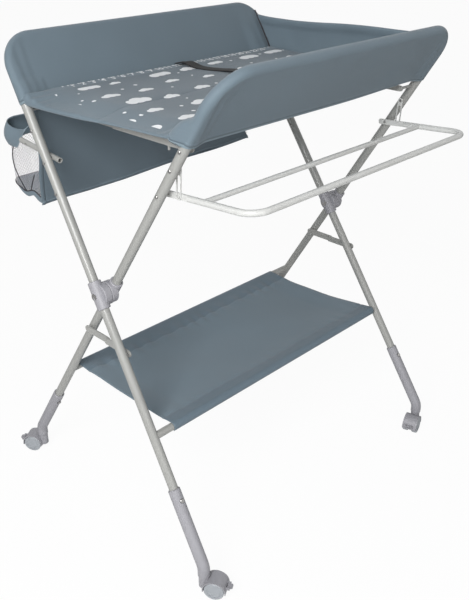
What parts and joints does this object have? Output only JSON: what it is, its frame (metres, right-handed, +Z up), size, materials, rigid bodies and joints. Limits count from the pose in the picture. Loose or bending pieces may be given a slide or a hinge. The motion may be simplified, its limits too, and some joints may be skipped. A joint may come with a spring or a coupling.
{
  "type": "folding baby changing table",
  "caption": "Folding changing table: crossed tube frames on braked casters carry a padded, walled tray, with a drying rack, a rear bag and a cloth shelf.",
  "frame": {"origin": "on the floor, below the middle of the fold axis", "axes": "+Z up, +X along the table towards the closed end, -Y towards the drying rack"},
  "size_m": [0.8588, 0.7296, 1.0208],
  "materials": {
    "grey_tube": "warm light grey powder coat, satin",
    "bright_tube": "pale silver grey powder coat, satin",
    "rivet_steel": "plated steel",
    "grey_plastic": "cool grey moulded plastic",
    "wheel_plastic": "pale grey moulded wheel",
    "slate_cloth": "slate blue-grey coated polyester",
    "net": "fine knitted net",
    "webbing": "black woven webbing"
  },
  "bodies": {
    "rear_frame": {"rear_leg_left": "grey_tube", "rear_leg_right": "grey_tube", "rear_top_rail": "grey_tube", "shelf_front_bar": "grey_tube", "hub_rear_left": "grey_plastic", "hub_rear_right": "grey_plastic", "hub_bolts": "rivet_steel", "rear_leg_rivets": "rivet_steel", "bag_arms": "grey_tube", "rear_wall_cover": "slate_cloth", "shelf_sling": "slate_cloth", "storage_bag": "slate_cloth", "bag_mesh": "net"},
    "end_wall": {"end_wall_cover": "slate_cloth"},
    "front_frame": {"front_leg_left": "grey_tube", "front_leg_right": "grey_tube", "front_top_rail": "grey_tube", "shelf_rear_bar": "grey_tube", "hub_front_left": "grey_plastic", "hub_front_right": "grey_plastic", "front_leg_rivets": "rivet_steel", "front_wall_cover": "slate_cloth"},
    "tray_rear": {"strut_rear_left": "grey_tube", "strut_rear_right": "grey_tube", "pad_rear": "slate_cloth", "safety_strap": "webbing"},
    "tray_front": {"strut_front_left": "grey_tube", "strut_front_right": "grey_tube", "pad_front": "slate_cloth"},
    "brace_front_left": {"brace_front_left": "grey_tube"},
    "brace_rear_left": {"brace_rear_left": "grey_tube"},
    "brace_front_right": {"brace_front_right": "grey_tube"},
    "brace_rear_right": {"brace_rear_right": "grey_tube"},
    "rack": {"rack_tube": "bright_tube", "rack_crossbar": "bright_tube", "rack_bracket_left": "bright_tube", "rack_bracket_right": "bright_tube"},
    "rack_stays": {"rack_stay_left": "bright_tube", "rack_stay_right": "bright_tube"},
    "foot_front_left": {"foot_sleeve_front_left": "grey_plastic"},
    "button_front_left": {"snap_button_front_left": "rivet_steel"},
    "caster_front_left": {"caster_hood_front_left": "grey_plastic"},
    "wheels_front_left": {"caster_wheels_front_left": "wheel_plastic"},
    "brake_front_left": {"brake_tab_front_left": "grey_plastic"},
    "foot_front_right": {"foot_sleeve_front_right": "grey_plastic"},
    "button_front_right": {"snap_button_front_right": "rivet_steel"},
    "caster_front_right": {"caster_hood_front_right": "grey_plastic"},
    "wheels_front_right": {"caster_wheels_front_right": "wheel_plastic"},
    "brake_front_right": {"brake_tab_front_right": "grey_plastic"},
    "foot_rear_left": {"foot_sleeve_rear_left": "grey_plastic"},
    "button_rear_left": {"snap_button_rear_left": "rivet_steel"},
    "caster_rear_left": {"caster_hood_rear_left": "grey_plastic"},
    "wheels_rear_left": {"caster_wheels_rear_left": "wheel_plastic"},
    "brake_rear_left": {"brake_tab_rear_left": "grey_plastic"},
    "foot_rear_right": {"foot_sleeve_rear_right": "grey_plastic"},
    "button_rear_right": {"snap_button_rear_right": "rivet_steel"},
    "caster_rear_right": {"caster_hood_rear_right": "grey_plastic"},
    "wheels_rear_right": {"caster_wheels_rear_right": "wheel_plastic"},
    "brake_rear_right": {"brake_tab_rear_right": "grey_plastic"}
  },
  "joints": [
    {"name": "frame_fold", "type": "hinge", "parent": "rear_frame", "child": "front_frame", "pos_m": [0, 0, 0.555], "axis": [-1, 0, 0], "range_deg": [0, 50], "deforming": ["end_wall_cover", "shelf_sling", "pad_rear", "pad_front", "safety_strap"]},
    {"name": "tray_rear_drop", "type": "hinge", "parent": "rear_frame", "child": "tray_rear", "pos_m": [0, 0.20735, 0.88], "axis": [1, 0, 0], "range_deg": [0, 51.38]},
    {"name": "tray_knuckle", "type": "hinge", "parent": "tray_rear", "child": "tray_front", "pos_m": [0, 0, 0.88], "axis": [-1, 0, 0], "range_deg": [0, 152.27]},
    {"name": "end_wall_gather", "type": "hinge", "parent": "rear_frame", "child": "end_wall", "pos_m": [0, 0, 0.555], "axis": [-1, 0, 0], "range_deg": [0, 25.5]},
    {"name": "brace_left_lift", "type": "hinge", "parent": "rear_frame", "child": "brace_front_left", "pos_m": [0, -0.06922, 0.4465], "axis": [1, 0, 0], "range_deg": [0, 51.38]},
    {"name": "brace_left_knuckle", "type": "hinge", "parent": "brace_front_left", "child": "brace_rear_left", "pos_m": [0, 0, 0.4465], "axis": [-1, 0, 0], "range_deg": [0, 152.27]},
    {"name": "brace_right_lift", "type": "hinge", "parent": "rear_frame", "child": "brace_front_right", "pos_m": [0, -0.06922, 0.4465], "axis": [1, 0, 0], "range_deg": [0, 51.38]},
    {"name": "brace_right_knuckle", "type": "hinge", "parent": "brace_front_right", "child": "brace_rear_right", "pos_m": [0, 0, 0.4465], "axis": [-1, 0, 0], "range_deg": [0, 152.27]},
    {"name": "rack_fold", "type": "hinge", "parent": "front_frame", "child": "rack", "pos_m": [0, -0.14929, 0.789], "axis": [-1, 0, 0], "range_deg": [0, 35]},
    {"name": "rack_stay_swing", "type": "hinge", "parent": "front_frame", "child": "rack_stays", "pos_m": [0, -0.18343, 0.8425], "axis": [1, 0, 0], "range_deg": [0, 11.15]},
    {"name": "height_front_left", "type": "slide", "parent": "rear_frame", "child": "foot_front_left", "axis": [-0.0442, -0.5373, -0.8422], "range_m": [0, 0.06]},
    {"name": "button_front_left", "type": "slide", "parent": "foot_front_left", "child": "button_front_left", "axis": [-0.0282, 0.8434, -0.5366], "range_m": [0, 0.0018], "stiffness_N_per_m": 800, "springref_m": -0.001},
    {"name": "swivel_front_left", "type": "hinge", "parent": "foot_front_left", "child": "caster_front_left", "pos_m": [-0.40162, -0.31134, 0.046], "axis": [0, 0, 1], "continuous": true},
    {"name": "roll_front_left", "type": "hinge", "parent": "caster_front_left", "child": "wheels_front_left", "pos_m": [-0.38926, -0.33192, 0.021], "axis": [0.8572, 0.515, 0], "continuous": true},
    {"name": "brake_front_left", "type": "hinge", "parent": "caster_front_left", "child": "brake_front_left", "pos_m": [-0.37494, -0.35574, 0.027], "axis": [0.8572, 0.515, 0], "range_deg": [0, 15]},
    {"name": "height_front_right", "type": "slide", "parent": "rear_frame", "child": "foot_front_right", "axis": [0.0442, -0.5373, -0.8422], "range_m": [0, 0.06]},
    {"name": "button_front_right", "type": "slide", "parent": "foot_front_right", "child": "button_front_right", "axis": [0.0282, 0.8434, -0.5366], "range_m": [0, 0.0018], "stiffness_N_per_m": 800, "springref_m": -0.001},
    {"name": "swivel_front_right", "type": "hinge", "parent": "foot_front_right", "child": "caster_front_right", "pos_m": [0.36962, -0.31134, 0.046], "axis": [0, 0, 1], "continuous": true},
    {"name": "roll_front_right", "type": "hinge", "parent": "caster_front_right", "child": "wheels_front_right", "pos_m": [0.34644, -0.31756, 0.021], "axis": [0.2588, -0.9659, 0], "continuous": true},
    {"name": "brake_front_right", "type": "hinge", "parent": "caster_front_right", "child": "brake_front_right", "pos_m": [0.31959, -0.32475, 0.027], "axis": [0.2588, -0.9659, 0], "range_deg": [0, 15]},
    {"name": "height_rear_left", "type": "slide", "parent": "front_frame", "child": "foot_rear_left", "axis": [-0.0442, 0.5373, -0.8422], "range_m": [0, 0.06]},
    {"name": "button_rear_left", "type": "slide", "parent": "foot_rear_left", "child": "button_rear_left", "axis": [0.0282, 0.8434, 0.5366], "range_m": [0, 0.0018], "stiffness_N_per_m": 800, "springref_m": -0.001},
    {"name": "swivel_rear_left", "type": "hinge", "parent": "foot_rear_left", "child": "caster_rear_left", "pos_m": [-0.36962, 0.31134, 0.046], "axis": [0, 0, 1], "continuous": true},
    {"name": "roll_rear_left", "type": "hinge", "parent": "caster_rear_left", "child": "wheels_rear_left", "pos_m": [-0.38304, 0.33124, 0.021], "axis": [-0.829, -0.5592, 0], "continuous": true},
    {"name": "brake_rear_left", "type": "hinge", "parent": "caster_rear_left", "child": "brake_rear_left", "pos_m": [-0.39859, 0.35429, 0.027], "axis": [-0.829, -0.5592, 0], "range_deg": [0, 15]},
    {"name": "height_rear_right", "type": "slide", "parent": "front_frame", "child": "foot_rear_right", "axis": [0.0442, 0.5373, -0.8422], "range_m": [0, 0.06]},
    {"name": "button_rear_right", "type": "slide", "parent": "foot_rear_right", "child": "button_rear_right", "axis": [-0.0282, 0.8434, 0.5366], "range_m": [0, 0.0018], "stiffness_N_per_m": 800, "springref_m": -0.001},
    {"name": "swivel_rear_right", "type": "hinge", "parent": "foot_rear_right", "child": "caster_rear_right", "pos_m": [0.40162, 0.31134, 0.046], "axis": [0, 0, 1], "continuous": true},
    {"name": "roll_rear_right", "type": "hinge", "parent": "caster_rear_right", "child": "wheels_rear_right", "pos_m": [0.41362, 0.33213, 0.021], "axis": [-0.866, 0.5, 0], "continuous": true},
    {"name": "brake_rear_right", "type": "hinge", "parent": "caster_rear_right", "child": "brake_rear_right", "pos_m": [0.42752, 0.3562, 0.027], "axis": [-0.866, 0.5, 0], "range_deg": [0, 15]}
  ],
  "couplings": [
    {"joint": "end_wall_gather", "follows": "frame_fold", "ratio": 0.5},
    {"joint": "tray_rear_drop", "follows": "frame_fold", "ratio": 1.0177},
    {"joint": "tray_knuckle", "follows": "frame_fold", "ratio": 3.0353},
    {"joint": "brace_left_lift", "follows": "frame_fold", "ratio": 1.0177},
    {"joint": "brace_left_knuckle", "follows": "frame_fold", "ratio": 3.0353},
    {"joint": "brace_right_lift", "follows": "frame_fold", "ratio": 1.0177},
    {"joint": "brace_right_knuckle", "follows": "frame_fold", "ratio": 3.0353},
    {"joint": "rack_stay_swing", "follows": "rack_fold", "ratio": 0.31}
  ]
}
